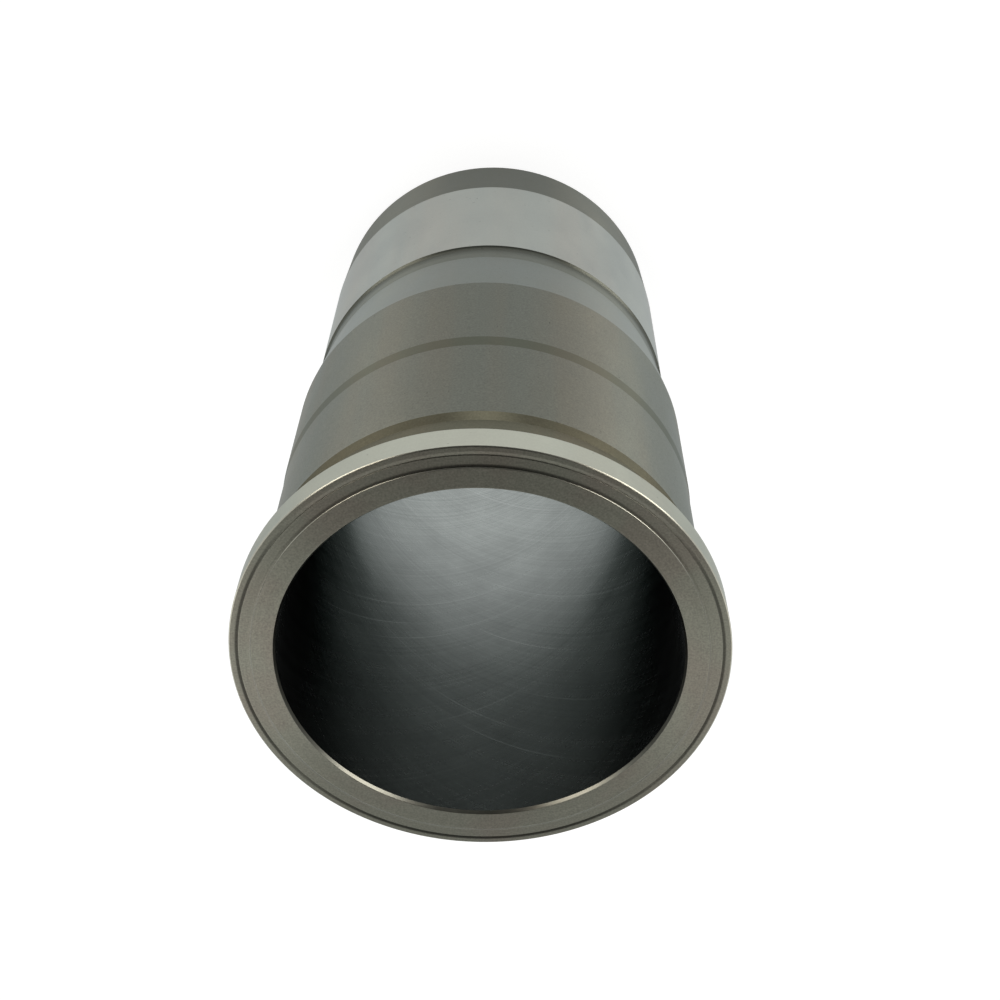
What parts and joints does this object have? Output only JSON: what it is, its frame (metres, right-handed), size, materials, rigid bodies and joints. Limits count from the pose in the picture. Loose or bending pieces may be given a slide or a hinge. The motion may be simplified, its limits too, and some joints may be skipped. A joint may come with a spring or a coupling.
{
  "type": "cylinder liner",
  "caption": "Flanged wet cylinder liner: a turned tube with a honed bore, top flange with a raised sealing ring, outer belts, a taper and a lower pilot.",
  "frame": {"origin": "centre of the lower end face, on the bore axis", "axes": "+Z along the bore axis from the lower end to the flange; turned all round, so X and Y are any two square radii"},
  "size_m": [0.1606, 0.1606, 0.2605],
  "materials": {
    "machined_iron": "turned, ground and honed, bare"
  },
  "bodies": {
    "root": {"liner": "machined_iron"}
  },
  "joints": []
}
